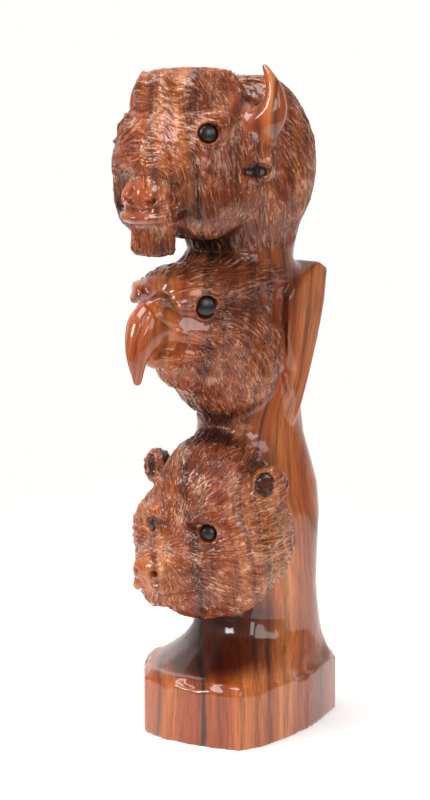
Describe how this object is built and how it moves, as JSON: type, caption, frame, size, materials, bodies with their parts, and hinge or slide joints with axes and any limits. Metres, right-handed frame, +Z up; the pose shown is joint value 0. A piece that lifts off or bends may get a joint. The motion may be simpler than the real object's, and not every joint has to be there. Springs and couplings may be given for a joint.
{
  "type": "carved wooden totem pole",
  "caption": "Small free-standing totem pole carved from one block of ironwood: a bison's head over an eagle's head and folded wings over a bear's head, on a thick chamfered base.",
  "frame": {"origin": "on the underside of the base, about its middle, below the column", "axes": "+Z up along the pole, -Y the way the three faces look, +X the carving's own left side"},
  "size_m": [0.091, 0.1243, 0.3062],
  "materials": {
    "ironwood": "polished and lacquered, with near-black streaks along the grain",
    "eye": "glossy black"
  },
  "bodies": {
    "root": {"carving": "ironwood", "bison_eye_left": "eye", "bison_eye_right": "eye", "eagle_eye_left": "eye", "eagle_eye_right": "eye", "bear_eye_left": "eye", "bear_eye_right": "eye"}
  },
  "joints": []
}
